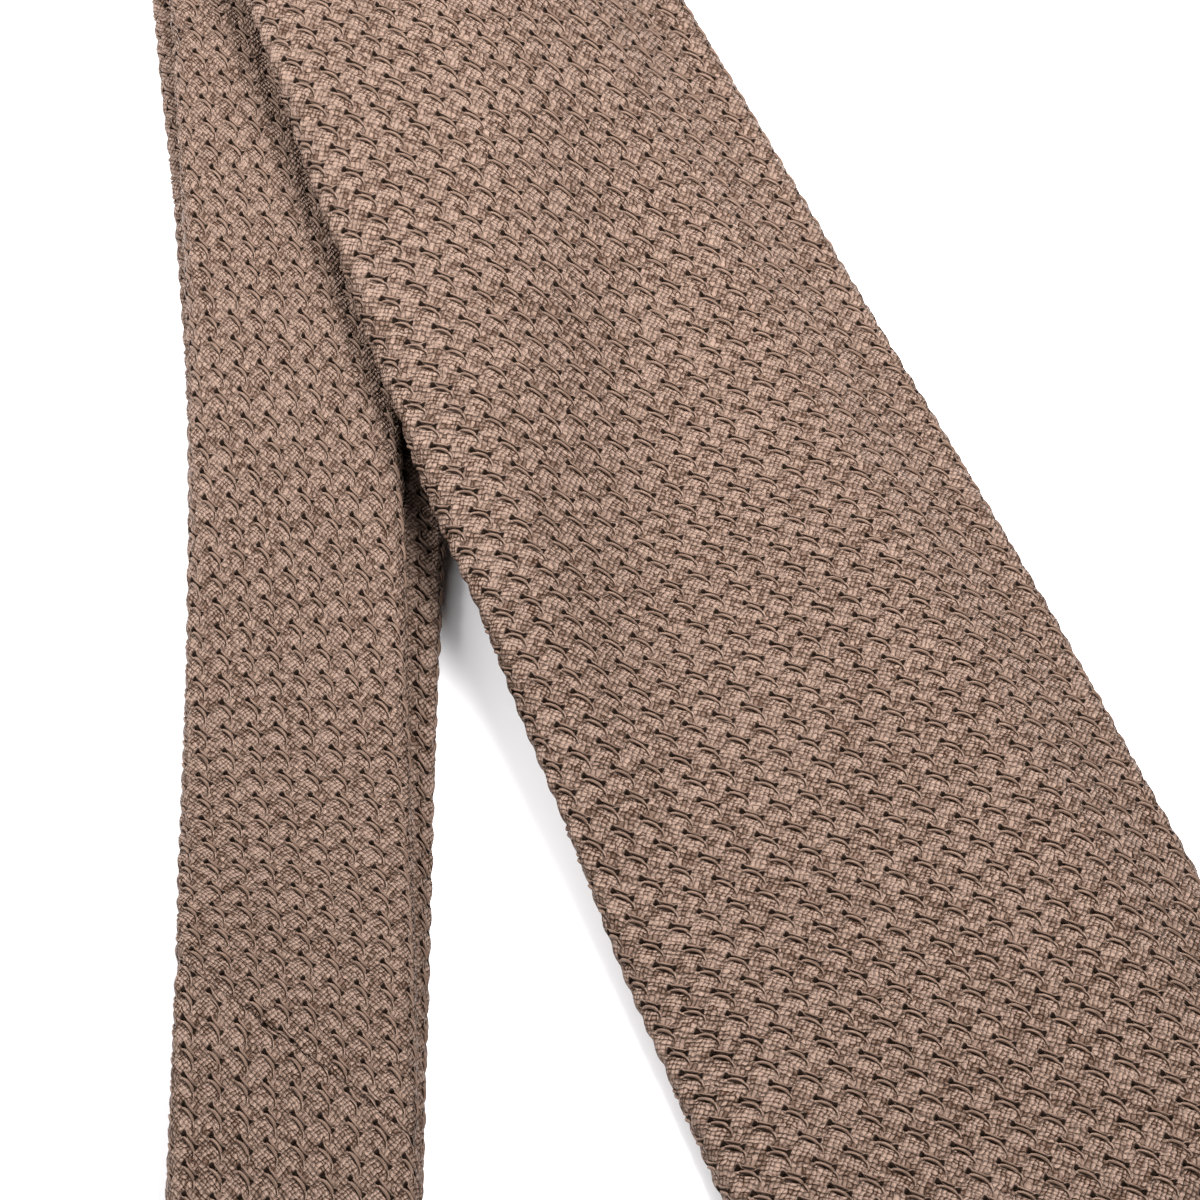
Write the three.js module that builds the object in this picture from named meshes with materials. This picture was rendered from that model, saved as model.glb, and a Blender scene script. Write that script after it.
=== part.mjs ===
// A grenadine necktie, folded in half twice and laid flat, blade face up and on top.
// Millimetres, +Z up. +Y runs from the blade tip towards the two top folds.
// The tie is one long flattened tube of cloth: a face, two rolled edges and two back flaps
// that almost meet at the back seam. s is the way along its middle from the blade tip,
// u the way across it towards +X, and n the way out of its face.
import * as THREE from 'three';

// Cloth
const THICKNESS = 4.4; // the flattened tube, from its face to its back seam
const WALL = 1.2; // one wall of cloth
const BACK_SLIT = 0.8; // between the two back flaps
const LAYER_GAP = 0.3; // air between two layers that lie on each other
const SEAM_GAP = 0.3; // between two cloths at a neck seam
const LAYER = THICKNESS + LAYER_GAP;

// The whole tie, tip to tip, and where its three cloths are joined on the bias
const LENGTH = 1448;
const TIP_WIDTH = 6; // the points are slightly blunt; their sides meet at a right angle
const LOWER_SEAM = { s: 811, slant: -1 };
const UPPER_SEAM = { s: 1021, slant: 0.9 };

// Width of the tie between its points
const WIDTHS = [
  { s: 38, width: 77 },
  { s: 94, width: 77.4 },
  { s: 141, width: 77 },
  { s: 182, width: 75 },
  { s: 274, width: 67.2 },
  { s: 359, width: 57.5 },
  { s: 466, width: 45.9 },
  { s: 592, width: 34.5 },
  { s: 662, width: 32.3 },
  { s: 785, width: 31.5 },
  { s: 887, width: 30 },
  { s: 1013, width: 30 },
  { s: 1092, width: 31.5 },
  { s: 1250, width: 37 },
  { s: 1426, width: 44 },
];

// The middle line of each leg as it lies, seen from above
const BLADE_LEG = [
  { y: -134, x: 68.2 },
  { y: -45, x: 37.8 },
  { y: 0, x: 22.2 },
  { y: 39, x: 8.5 },
  { y: 126, x: -20.2 },
  { y: 206, x: -47.7 },
];
const FLOOR_LEG = [
  { y: -142, x: -37.8 },
  { y: -70, x: -38 },
  { y: 0, x: -38.8 },
  { y: 60, x: -40.2 },
  { y: 126, x: -44.5 },
  { y: 180, x: -49.4 },
  { y: 205, x: -52.2 },
];
const NECK_LEG = [
  { y: -142, x: -37.3 },
  { y: -102, x: -37.7 },
  { y: -36, x: -39.7 },
  { y: 39, x: -42.9 },
  { y: 126, x: -49.9 },
  { y: 204, x: -57.4 },
];
const TAIL_LEG = [
  { y: -117, x: 61 },
  { y: 40, x: 4 },
  { y: 204, x: -57.4 },
];

// Folds: the line that the cloth turns round, and the radius of its middle
const TOP_FOLD = { x: -50.7, y: 206, turn: THREE.MathUtils.degToRad(12.5) };
const BOTTOM_FOLD = { x: -37.5, y: -142, turn: THREE.MathUtils.degToRad(0.5) };
const OUTER_RADIUS = 9; // blade over floor leg, round the inner fold
const INNER_RADIUS = OUTER_RADIUS - LAYER; // neck into tail
const BOTTOM_RADIUS = 3.6; // floor leg into neck
const TOP_FOLD_HEIGHT = THICKNESS / 2 + OUTER_RADIUS;
const LOOSE_LENGTH = 36; // a fold springs open over this length

// How far past an edge below it a layer keeps its height, and over what width it comes down
const TAIL_OVER_NECK = { keeps: 3, falls: 24 };
const BLADE_OVER_NECK = { keeps: 7, falls: 26 };
const BLADE_OVER_TAIL = { keeps: 3, falls: 17 };

// Facets
const ROLL_STEPS = 3; // round one rolled edge
const WIDE_FACE_STEPS = 10; // across the face of the blade's cloth, an even number
const NARROW_FACE_STEPS = 8; // and of the neck's and the tail's

const cloth_material = () =>
  new THREE.MeshStandardMaterial({ color: 0x987f72, roughness: 0.85, metalness: 0 });

// A smooth curve through the rows of a table, straight past its ends
function through(rows, along, value) {
  const at = rows.map((row) => row[along]);
  const to = rows.map((row) => row[value]);
  const last = rows.length - 1;
  const slope = rows.map((row, i) => {
    const a = Math.max(i - 1, 0);
    const b = Math.min(i + 1, last);
    return (to[b] - to[a]) / (at[b] - at[a]);
  });
  return (x) => {
    if (x <= at[0]) return to[0] + slope[0] * (x - at[0]);
    if (x >= at[last]) return to[last] + slope[last] * (x - at[last]);
    const i = at.findIndex((edge) => edge > x) - 1;
    const run = at[i + 1] - at[i];
    const t = (x - at[i]) / run;
    const bend = (1 - t) * slope[i] * run - t * slope[i + 1] * run;
    const rise = to[i + 1] - to[i];
    return to[i] + t * rise + t * (1 - t) * (bend - (1 - 2 * t) * rise);
  };
}

const width_between = through(WIDTHS, 's', 'width');
const sharp_width = (s) => Math.min(width_between(s), 2 * s, 2 * (LENGTH - s));
const width_at = (s) => Math.max(TIP_WIDTH, sharp_width(s));

// A point on a fold line's own axes: along the line, and square out from it
function on_fold(fold, x, y) {
  const [dx, dy] = [x - fold.x, y - fold.y];
  const [c, s] = [Math.cos(fold.turn), Math.sin(fold.turn)];
  return { along: dx * c + dy * s, out: dy * c - dx * s };
}

// A leg: its middle line, measured so that s runs along it. up says whether s grows with y.
const PAST_END = 45; // a slanted end reaches past the middle line's end by less than this
function make_leg(rows, up, face_up, start_s) {
  const middle = through(rows, 'y', 'x');
  const [low, high] = [rows[0].y - PAST_END, rows[rows.length - 1].y + PAST_END];
  const line = [{ y: low, length: 0 }];
  for (let y = low + 1; y <= high; y += 1) {
    const before = line[line.length - 1];
    const step = Math.hypot(y - before.y, middle(y) - middle(before.y));
    line.push({ y, length: before.length + step });
  }
  const length_at = through(line, 'y', 'length');
  const y_at = through(line, 'length', 'y');
  const [from, to] = up ? [rows[0].y, rows[rows.length - 1].y] : [rows[rows.length - 1].y, rows[0].y];
  const start_length = length_at(from);
  const sense = up ? 1 : -1;
  return {
    face: face_up ? 1 : -1,
    start: start_s,
    end: start_s + Math.abs(length_at(to) - start_length),
    s_of: (y) => start_s + sense * (length_at(y) - start_length),
    y_of: (s) => y_at(start_length + sense * (s - start_s)),
    x_of: middle,
    lean: (y) => Math.atan(middle(y - 0.5) - middle(y + 0.5)),
  };
}

// The slant that lays a section of a leg along a fold line
const fold_slant = (leg, fold, y, up) => (up ? -1 : 1) * Math.tan(leg.lean(y) - fold.turn);

const half_turn = (radius) => Math.PI * radius;
const blade_leg = make_leg(BLADE_LEG, true, true, 0);
const floor_leg = make_leg(FLOOR_LEG, false, false, blade_leg.end + half_turn(OUTER_RADIUS));
const neck_leg = make_leg(NECK_LEG, true, true, floor_leg.end + half_turn(BOTTOM_RADIUS));
const tail_leg = make_leg(TAIL_LEG, false, false, neck_leg.end + half_turn(INNER_RADIUS));

// How far a point lies outside a leg's edge, seen from above
function outside(leg, x, y) {
  const lean = leg.lean(y);
  const across = (x - leg.x_of(y)) * Math.cos(lean);
  const s = leg.s_of(y - across * Math.sin(lean));
  return Math.abs(across) - sharp_width(s) / 2;
}
const held_up = (leg, x, y, over) =>
  1 - THREE.MathUtils.smoothstep(outside(leg, x, y) - over.keeps, 0, over.falls);

// The height that a fold adds to the layers beside it
function sprung(fold, height, x, y, side) {
  const away = side * on_fold(fold, x, y).out;
  return height * (1 - THREE.MathUtils.smoothstep(away, 0, LOOSE_LENGTH));
}
const TOP_SPRING = 2 * OUTER_RADIUS - 3 * LAYER;
const BOTTOM_SPRING = 2 * BOTTOM_RADIUS - LAYER;
const by_top_fold = (x, y) => sprung(TOP_FOLD, TOP_SPRING, x, y, -1);

// The underside of each leg over the floor
const under = new Map([
  [floor_leg, () => 0],
  [neck_leg, (x, y) => LAYER + sprung(BOTTOM_FOLD, BOTTOM_SPRING, x, y, 1)],
  [tail_leg, (x, y) =>
    LAYER * held_up(floor_leg, x, y, TAIL_OVER_NECK) +
    LAYER * held_up(neck_leg, x, y, TAIL_OVER_NECK) + by_top_fold(x, y)],
  [blade_leg, (x, y) =>
    LAYER * held_up(floor_leg, x, y, BLADE_OVER_NECK) +
    LAYER * held_up(neck_leg, x, y, BLADE_OVER_NECK) +
    LAYER * held_up(tail_leg, x, y, BLADE_OVER_TAIL) + by_top_fold(x, y)],
]);

// Places a point of a leg's section in space
function lay(leg, s, u, n) {
  const y = leg.y_of(s);
  const lean = leg.lean(y);
  const px = leg.x_of(y) + u * Math.cos(lean);
  const py = y + u * Math.sin(lean);
  return new THREE.Vector3(px, py, under.get(leg)(px, py) + THICKNESS / 2 + leg.face * n);
}

// A fold joins the section at the end of one leg to the one at the start of the next
function make_fold(fold, radius, height, side, first, first_y, next, next_y, face_out, rises) {
  const end_of = (leg, y) => ({
    along: on_fold(fold, leg.x_of(y), y).along,
    stretch: 1 / Math.cos(leg.lean(y) - fold.turn),
  });
  const [a, b] = [end_of(first, first_y), end_of(next, next_y)];
  return (part, u, n) => {
    const along = THREE.MathUtils.lerp(a.along, b.along, part) +
      u * THREE.MathUtils.lerp(a.stretch, b.stretch, part);
    const angle = Math.PI * (rises ? part : 1 - part);
    const reach = radius + (face_out ? n : -n);
    const out = side * Math.sin(angle) * reach;
    const [c, s] = [Math.cos(fold.turn), Math.sin(fold.turn)];
    return new THREE.Vector3(
      fold.x + along * c - out * s,
      fold.y + along * s + out * c,
      height - Math.cos(angle) * reach,
    );
  };
}

const top_of = (rows) => rows[rows.length - 1].y;
const bottom_of = (rows) => rows[0].y;
const outer_fold = make_fold(TOP_FOLD, OUTER_RADIUS, TOP_FOLD_HEIGHT, 1,
  blade_leg, top_of(BLADE_LEG), floor_leg, top_of(FLOOR_LEG), true, false);
const inner_fold = make_fold(TOP_FOLD, INNER_RADIUS, TOP_FOLD_HEIGHT, 1,
  neck_leg, top_of(NECK_LEG), tail_leg, top_of(TAIL_LEG), false, true);
const bottom_fold = make_fold(BOTTOM_FOLD, BOTTOM_RADIUS, THICKNESS / 2 + BOTTOM_RADIUS, -1,
  floor_leg, bottom_of(FLOOR_LEG), neck_leg, bottom_of(NECK_LEG), true, true);

// The two outlines of the tube's section, from one lip of the back slit round to the other
function section_outline(width, inset, face_steps) {
  const radius = THICKNESS / 2;
  const flat = width / 2 - radius;
  const reach = radius - inset;
  const back = [];
  for (let i = 0; i < face_steps / 2; i++) {
    const u = THREE.MathUtils.lerp(BACK_SLIT / 2, flat, i / (face_steps / 2));
    back.push([u, -reach]);
  }
  const edge = [];
  for (let i = 0; i <= ROLL_STEPS; i++) {
    const angle = Math.PI * (i / ROLL_STEPS - 0.5);
    edge.push([flat + reach * Math.cos(angle), reach * Math.sin(angle)]);
  }
  const face = [];
  for (let i = 1; i < face_steps; i++) face.push([flat * (1 - (2 * i) / face_steps), reach]);
  const right = [...back, ...edge];
  const left = right.map(([u, n]) => [-u, n]).reverse();
  return [...right, ...face, ...left];
}

// Joins sections into one closed wall. Each section is { width, at(u, n) }.
function wall_through(sections, face_steps) {
  const points = [];
  const triangles = [];
  const outlines = sections.map(({ width, at }) => {
    const outer = section_outline(width, 0, face_steps);
    const inner = section_outline(width, WALL, face_steps).reverse();
    return [...outer, ...inner].map(([u, n]) => at(u, n));
  });
  for (const outline of outlines) for (const p of outline) points.push(p.x, p.y, p.z);
  const size = outlines[0].length;
  const quad = (a, b, c, d) => triangles.push(a, b, c, a, c, d);
  for (let k = 0; k + 1 < outlines.length; k++) {
    for (let i = 0; i < size; i++) {
      const j = (i + 1) % size;
      quad(k * size + i, (k + 1) * size + i, (k + 1) * size + j, k * size + j);
    }
  }
  const end = (outlines.length - 1) * size;
  for (let i = 0; i + 1 < size / 2; i++) {
    const j = size - 1 - i;
    quad(i, i + 1, j - 1, j);
    quad(end + i, end + j, end + j - 1, end + i + 1);
  }
  const geometry = new THREE.BufferGeometry();
  geometry.setAttribute('position', new THREE.Float32BufferAttribute(points, 3));
  geometry.setIndex(triangles);
  geometry.computeVertexNormals();
  return geometry;
}

// Sections of a leg from one s to another, their slant changing evenly
function leg_sections(leg, from, to, steps, slant_from = 0, slant_to = 0) {
  return Array.from({ length: steps + 1 }, (_, i) => {
    const s = THREE.MathUtils.lerp(from, to, i / steps);
    const slant = THREE.MathUtils.lerp(slant_from, slant_to, i / steps);
    return { width: width_at(s), at: (u, n) => lay(leg, s + slant * u, u, n) };
  });
}

// Sections round a fold, without its two ends
function fold_sections(fold, steps, first, next) {
  return Array.from({ length: steps - 1 }, (_, i) => {
    const part = (i + 1) / steps;
    const width = THREE.MathUtils.lerp(width_at(first.end), width_at(next.start), part);
    return { width, at: (u, n) => fold(part, u, n) };
  });
}

// Sections over a pointed end, closer together towards the point
const POINT_STEPS = [TIP_WIDTH / 2, 11, 20, 29];
const one_section = (leg, s) => leg_sections(leg, s, s, 1)[0];

// Lengths over which a section turns from square to slanted
const SLANT_RUN = 56;
const FOLD_RUN = 38;
const seam_side = (seam, side) => seam.s + side * SEAM_GAP * Math.hypot(1, seam.slant) / 2;

function blade_cloth() {
  const fold_at = fold_slant(blade_leg, TOP_FOLD, top_of(BLADE_LEG), true);
  const seam = seam_side(LOWER_SEAM, -1);
  return wall_through([
    ...POINT_STEPS.map((step) => one_section(blade_leg, step)),
    ...leg_sections(blade_leg, WIDTHS[0].s, blade_leg.end - FOLD_RUN, 23),
    ...leg_sections(blade_leg, blade_leg.end - FOLD_RUN, blade_leg.end, 4, 0, fold_at).slice(1),
    ...fold_sections(outer_fold, 8, blade_leg, floor_leg),
    ...leg_sections(floor_leg, floor_leg.start, floor_leg.start + FOLD_RUN, 2, fold_at, 0),
    ...leg_sections(floor_leg, floor_leg.start + FOLD_RUN, floor_leg.end, 9).slice(1),
    ...fold_sections(bottom_fold, 6, floor_leg, neck_leg),
    ...leg_sections(neck_leg, neck_leg.start, seam - SLANT_RUN, 1),
    ...leg_sections(neck_leg, seam - SLANT_RUN, seam, 4, 0, LOWER_SEAM.slant).slice(1),
  ], WIDE_FACE_STEPS);
}

function neck_cloth() {
  return wall_through(
    leg_sections(neck_leg, seam_side(LOWER_SEAM, 1), seam_side(UPPER_SEAM, -1), 9,
      LOWER_SEAM.slant, UPPER_SEAM.slant),
    NARROW_FACE_STEPS,
  );
}

function tail_cloth() {
  const fold_at = fold_slant(neck_leg, TOP_FOLD, top_of(NECK_LEG), true);
  const shoulder = WIDTHS[WIDTHS.length - 1].s;
  return wall_through([
    ...leg_sections(neck_leg, seam_side(UPPER_SEAM, 1), neck_leg.end, 4, UPPER_SEAM.slant, fold_at),
    ...fold_sections(inner_fold, 6, neck_leg, tail_leg),
    ...leg_sections(tail_leg, tail_leg.start, tail_leg.start + FOLD_RUN, 4, fold_at, 0),
    ...leg_sections(tail_leg, tail_leg.start + FOLD_RUN, shoulder, 21).slice(1),
    ...POINT_STEPS.slice(0, 2).reverse().map((step) => one_section(tail_leg, LENGTH - step)),
  ], NARROW_FACE_STEPS);
}

function named(name, geometry) {
  const mesh = new THREE.Mesh(geometry, cloth_material());
  mesh.name = name;
  return mesh;
}

const tie = new THREE.Group();
tie.add(
  named('blade_cloth', blade_cloth()),
  named('neck_cloth', neck_cloth()),
  named('tail_cloth', tail_cloth()),
);

// The origin is the middle of the underside's box
const box = new THREE.Box3().setFromObject(tie);
const middle = box.getCenter(new THREE.Vector3());
tie.position.set(-middle.x, -middle.y, -box.min.z);
tie.updateMatrixWorld(true);

export default tie;
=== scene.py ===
"""A brown grenadine necktie, folded in half twice and laid flat on a pale floor.

The cloth follows the CAD: one long flattened tube of gauze weave, a face, two rolled
edges and two back flaps that almost meet at the back seam. s is the way along its middle
from the blade's point, a the way round its section from the middle of the face, and h
the way out of the cloth. Lengths are in millimetres until a mesh is made.
"""

import math

import bmesh
import bpy
import numpy as np
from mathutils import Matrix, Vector


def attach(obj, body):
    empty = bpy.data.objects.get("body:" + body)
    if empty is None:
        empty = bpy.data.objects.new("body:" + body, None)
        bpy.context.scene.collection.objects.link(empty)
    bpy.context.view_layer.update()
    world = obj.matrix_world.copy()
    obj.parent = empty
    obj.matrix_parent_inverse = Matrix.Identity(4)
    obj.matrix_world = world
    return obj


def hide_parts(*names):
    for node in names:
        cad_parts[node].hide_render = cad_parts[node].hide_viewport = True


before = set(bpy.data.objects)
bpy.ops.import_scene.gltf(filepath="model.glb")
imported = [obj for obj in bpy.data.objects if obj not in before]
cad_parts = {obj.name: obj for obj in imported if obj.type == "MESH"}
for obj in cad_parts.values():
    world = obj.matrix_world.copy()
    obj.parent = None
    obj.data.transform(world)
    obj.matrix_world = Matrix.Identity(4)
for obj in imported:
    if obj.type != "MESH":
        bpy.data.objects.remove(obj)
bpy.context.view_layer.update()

MM = 0.001

# The weave's relief on the cloth, and the seams in it
PROUD = 0.12  # how far the bumps stand out of the CAD's cloth
HOLLOW_DEPTH = 0.7  # from the top of a bump to the bottom of the hollow under a float
HOLLOW_SHARPNESS = 1.4
SEAM_DIP = 0.45
SEAM_WIDTH = 1.2
SEAM_GAP = 0.08

ORIGIN = np.array([-5.99, -37.38, PROUD])  # of the plan's axes in the frame

# The tie's form, as in the CAD
THICKNESS = 4.4  # the flattened tube, from its face to its back seam
RADIUS = THICKNESS / 2  # of its rolled edges
WALL = 1.2  # one wall of cloth
BACK_SLIT = 0.8  # between the two back flaps
LAYER_GAP = 0.3  # air between two layers that lie on each other
LAYER = THICKNESS + LAYER_GAP
LENGTH = 1448
TIP_WIDTH = 6
LOWER_SEAM = (811, -1.0)  # s and slant
UPPER_SEAM = (1021, 0.9)

# s and width
WIDTHS = [
    (38, 77), (94, 77.4), (141, 77), (182, 75), (274, 67.2), (359, 57.5), (466, 45.9), (592, 34.5),
    (662, 32.3), (785, 31.5), (887, 30), (1013, 30), (1092, 31.5), (1250, 37), (1426, 44),
]
# y and x of each leg's middle line
BLADE_LINE = [(-134, 68.2), (-45, 37.8), (0, 22.2), (39, 8.5), (126, -20.2), (206, -47.7)]
FLOOR_LINE = [
    (-142, -37.8), (-70, -38), (0, -38.8), (60, -40.2), (126, -44.5), (180, -49.4), (205, -52.2),
]
NECK_LINE = [(-142, -37.3), (-102, -37.7), (-36, -39.7), (39, -42.9), (126, -49.9), (204, -57.4)]
TAIL_LINE = [(-117, 61), (40, 4), (204, -57.4)]

TOP_FOLD = (-50.7, 206, math.radians(12.5))  # x, y and turn of the line that the cloth turns round
BOTTOM_FOLD = (-37.5, -142, math.radians(0.5))
OUTER_RADIUS = 9
INNER_RADIUS = OUTER_RADIUS - LAYER
BOTTOM_RADIUS = 3.6
TOP_FOLD_HEIGHT = RADIUS + OUTER_RADIUS
LOOSE_LENGTH = 36
FOLD_RUN = 38
SLANT_RUN = 56

# How far past an edge below it a layer keeps its height, and over what width it comes down
TAIL_OVER_NECK = (3, 24)
BLADE_OVER_NECK = (7, 26)
BLADE_OVER_TAIL = (3, 17)

EDGE_SOFT = 9  # the cloth thins towards its edges over this width
EDGE_SHARE = 0.6  # and over this share of half its face at most
EDGE_THIN = 0.35

SEARCH_ROUNDS = 8  # of each search for a place on the cloth


def through(rows):
    """A smooth curve through rows of (place, value), straight past its ends."""
    at, to = np.array(rows, float).T
    last = len(at) - 1
    i = np.arange(last + 1)
    before, after = np.maximum(i - 1, 0), np.minimum(i + 1, last)
    slope = (to[after] - to[before]) / (at[after] - at[before])

    def value(x):
        x = np.asarray(x, float)
        k = np.clip(np.searchsorted(at, x, side="right") - 1, 0, last - 1)
        run, rise = at[k + 1] - at[k], to[k + 1] - to[k]
        t = (x - at[k]) / run
        bend = (1 - t) * slope[k] * run - t * slope[k + 1] * run
        curve = to[k] + t * rise + t * (1 - t) * (bend - (1 - 2 * t) * rise)
        low, high = to[0] + slope[0] * (x - at[0]), to[last] + slope[last] * (x - at[last])
        return np.where(x <= at[0], low, np.where(x >= at[last], high, curve))

    return value


def smooth(x, low, high):
    """0 up to low, 1 from high on, and a soft slope between them."""
    t = np.clip((x - low) / (high - low), 0, 1)
    return t * t * (3 - 2 * t)


width_between = through(WIDTHS)


def sharp_width(s):
    """The tie's width with its points drawn out sharp."""
    return np.minimum(width_between(s), np.minimum(2 * s, 2 * (LENGTH - s)))


def width_at(s):
    return np.maximum(TIP_WIDTH, sharp_width(s))


class Leg:
    """One straight run of the tie. side is 1 where its face is up, and s then grows with y."""

    PAST_END = 45

    def __init__(self, rows, side, start):
        self.x_of = through(rows)
        self.side = side
        y = np.arange(rows[0][0] - self.PAST_END, rows[-1][0] + self.PAST_END + 1, 1.0)
        run = np.concatenate([[0], np.cumsum(np.hypot(1, np.diff(self.x_of(y))))])
        self.y, self.run = y, run
        first = rows[0][0] if side > 0 else rows[-1][0]
        last = rows[-1][0] if side > 0 else rows[0][0]
        self.start, self.start_run = start, np.interp(first, y, run)
        self.end = start + abs(np.interp(last, y, run) - self.start_run)

    def s_of(self, y):
        return self.start + self.side * (np.interp(y, self.y, self.run) - self.start_run)

    def y_of(self, s):
        return np.interp(self.start_run + self.side * (s - self.start), self.run, self.y)

    def lean(self, y):
        return np.arctan(self.x_of(y - 0.5) - self.x_of(y + 0.5))

    def outside(self, x, y):
        """How far a point lies outside the leg's edge, seen from above."""
        lean = self.lean(y)
        across = (x - self.x_of(y)) * np.cos(lean)
        return np.abs(across) - sharp_width(self.s_of(y - across * np.sin(lean))) / 2

    def holds_up(self, x, y, over):
        """1 where this leg lifts a layer above it, 0 where that one is down again."""
        return 1 - smooth(self.outside(x, y) - over[0], 0, over[1])


blade_leg = Leg(BLADE_LINE, 1, 0)
floor_leg = Leg(FLOOR_LINE, -1, blade_leg.end + math.pi * OUTER_RADIUS)
neck_leg = Leg(NECK_LINE, 1, floor_leg.end + math.pi * BOTTOM_RADIUS)
tail_leg = Leg(TAIL_LINE, -1, neck_leg.end + math.pi * INNER_RADIUS)


def on_fold(fold, x, y):
    """A place seen from a fold's line: along it, and across it."""
    dx, dy = x - fold[0], y - fold[1]
    c, s = math.cos(fold[2]), math.sin(fold[2])
    return dx * c + dy * s, dy * c - dx * s


def sprung(fold, height, x, y, side):
    """How much further a loose fold lifts a layer near it."""
    return height * (1 - smooth(side * on_fold(fold, x, y)[1], 0, LOOSE_LENGTH))


def by_top_fold(x, y):
    return sprung(TOP_FOLD, 2 * OUTER_RADIUS - 3 * LAYER, x, y, -1)


def under_neck(x, y):
    return LAYER + sprung(BOTTOM_FOLD, 2 * BOTTOM_RADIUS - LAYER, x, y, 1)


def under_tail(x, y):
    over = TAIL_OVER_NECK
    held = floor_leg.holds_up(x, y, over) + neck_leg.holds_up(x, y, over)
    return LAYER * held + by_top_fold(x, y)


def under_blade(x, y):
    over = BLADE_OVER_NECK
    held = floor_leg.holds_up(x, y, over) + neck_leg.holds_up(x, y, over)
    held = held + tail_leg.holds_up(x, y, BLADE_OVER_TAIL)
    return LAYER * held + by_top_fold(x, y)


UNDER = {
    blade_leg: under_blade,
    floor_leg: lambda x, y: np.zeros_like(x),
    neck_leg: under_neck,
    tail_leg: under_tail,
}


def lay(leg, s, u, n):
    """Places a point of a leg's section: u across it, n out of its face."""
    y = leg.y_of(s)
    lean = leg.lean(y)
    px, py = leg.x_of(y) + u * np.cos(lean), y + u * np.sin(lean)
    return np.stack([px, py, UNDER[leg](px, py) + RADIUS + leg.side * n], axis=-1)


class Fold:
    """Joins the end of one leg to the start of the next."""

    def __init__(self, line, radius, height, side, first, next_leg, face_out, rises):
        """line is (x, y, turn) of the axis that the cloth turns round, seen from above, and height
        is the axis's. The fold reaches past the line towards +y where side is 1. face_out says
        that the face is outside, and rises that s runs upwards round it."""
        self.line, self.radius, self.height, self.side = line, radius, height, side
        self.first, self.next, self.face_out, self.rises = first, next_leg, face_out, rises
        self.start, self.end = first.end, next_leg.start
        self.ends = []
        for leg, s in ((first, first.end), (next_leg, next_leg.start)):
            y = leg.y_of(s)
            self.ends.append((on_fold(line, leg.x_of(y), y)[0], 1 / np.cos(leg.lean(y) - line[2])))
        y = first.y_of(first.end)
        self.slant = -first.side * math.tan(first.lean(y) - line[2])

    def place(self, s, u, n):
        part = (s - self.start) / (self.end - self.start)
        (a, stretch_a), (b, stretch_b) = self.ends
        along = a + (b - a) * part + u * (stretch_a + (stretch_b - stretch_a) * part)
        angle = math.pi * (part if self.rises else 1 - part)
        reach = self.radius + (n if self.face_out else -n)
        out = self.side * np.sin(angle) * reach
        x, y, turn = self.line
        c, sn = math.cos(turn), math.sin(turn)
        return np.stack([
            x + along * c - out * sn,
            y + along * sn + out * c,
            self.height - np.cos(angle) * reach,
        ], axis=-1)


outer_fold = Fold(
    TOP_FOLD, OUTER_RADIUS, TOP_FOLD_HEIGHT, side=1, first=blade_leg, next_leg=floor_leg,
    face_out=True, rises=False)
inner_fold = Fold(
    TOP_FOLD, INNER_RADIUS, TOP_FOLD_HEIGHT, side=1, first=neck_leg, next_leg=tail_leg,
    face_out=False, rises=True)
bottom_fold = Fold(
    BOTTOM_FOLD, BOTTOM_RADIUS, RADIUS + BOTTOM_RADIUS, side=-1, first=floor_leg, next_leg=neck_leg,
    face_out=True, rises=True)

# The weave's lattice, and the cloths that it lies on

LATTICE_PAST_END = 60


class Lattice:
    """The weave's cells: their steps across and along the cloth, and how far their columns and
    their rows are turned to the left."""

    def __init__(self, rows, phase):
        """rows of (s, step across, step along, columns' turn, rows' turn), turns in degrees"""
        s = np.arange(-LATTICE_PAST_END, LENGTH + LATTICE_PAST_END, 1.0)
        at = np.array(rows, float).T
        across, along, column, row = [np.interp(s, at[0], values) for values in at[1:]]
        column, row = np.radians(column), np.radians(row)
        skew = np.cos(row - column)
        self.s = s
        self.u_by_a, self.v_by_a = np.cos(column) / across / skew, -np.sin(row) / along / skew
        self.u0 = np.cumsum(np.sin(column) / across / skew) + phase[0]
        self.v0 = np.cumsum(np.cos(row) / along / skew) + phase[1]

    def _at(self, table, s):
        return np.interp(s, self.s, table)

    def cell(self, s, a):
        """How many cells a place is from the first, across and along."""
        u = self._at(self.u0, s) + a * self._at(self.u_by_a, s)
        v = self._at(self.v0, s) + a * self._at(self.v_by_a, s)
        return u, v

    def place(self, u, v):
        """The s and a of a place in the lattice."""
        a = np.zeros_like(u)
        s = np.interp(v, self.v0, self.s)
        for _ in range(SEARCH_ROUNDS):
            s = np.interp(v - a * self._at(self.v_by_a, s), self.v0, self.s)
            a = (u - self._at(self.u0, s)) / self._at(self.u_by_a, s)
        return s, a


def relief(u, v):
    """The weave's bumps and hollows. None stands more than a little proud of the CAD's cloth."""
    hollow = (np.cos(2 * np.pi * u) + np.cos(2 * np.pi * v) + 2) / 4
    return PROUD - HOLLOW_DEPTH * hollow ** HOLLOW_SHARPNESS


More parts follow.
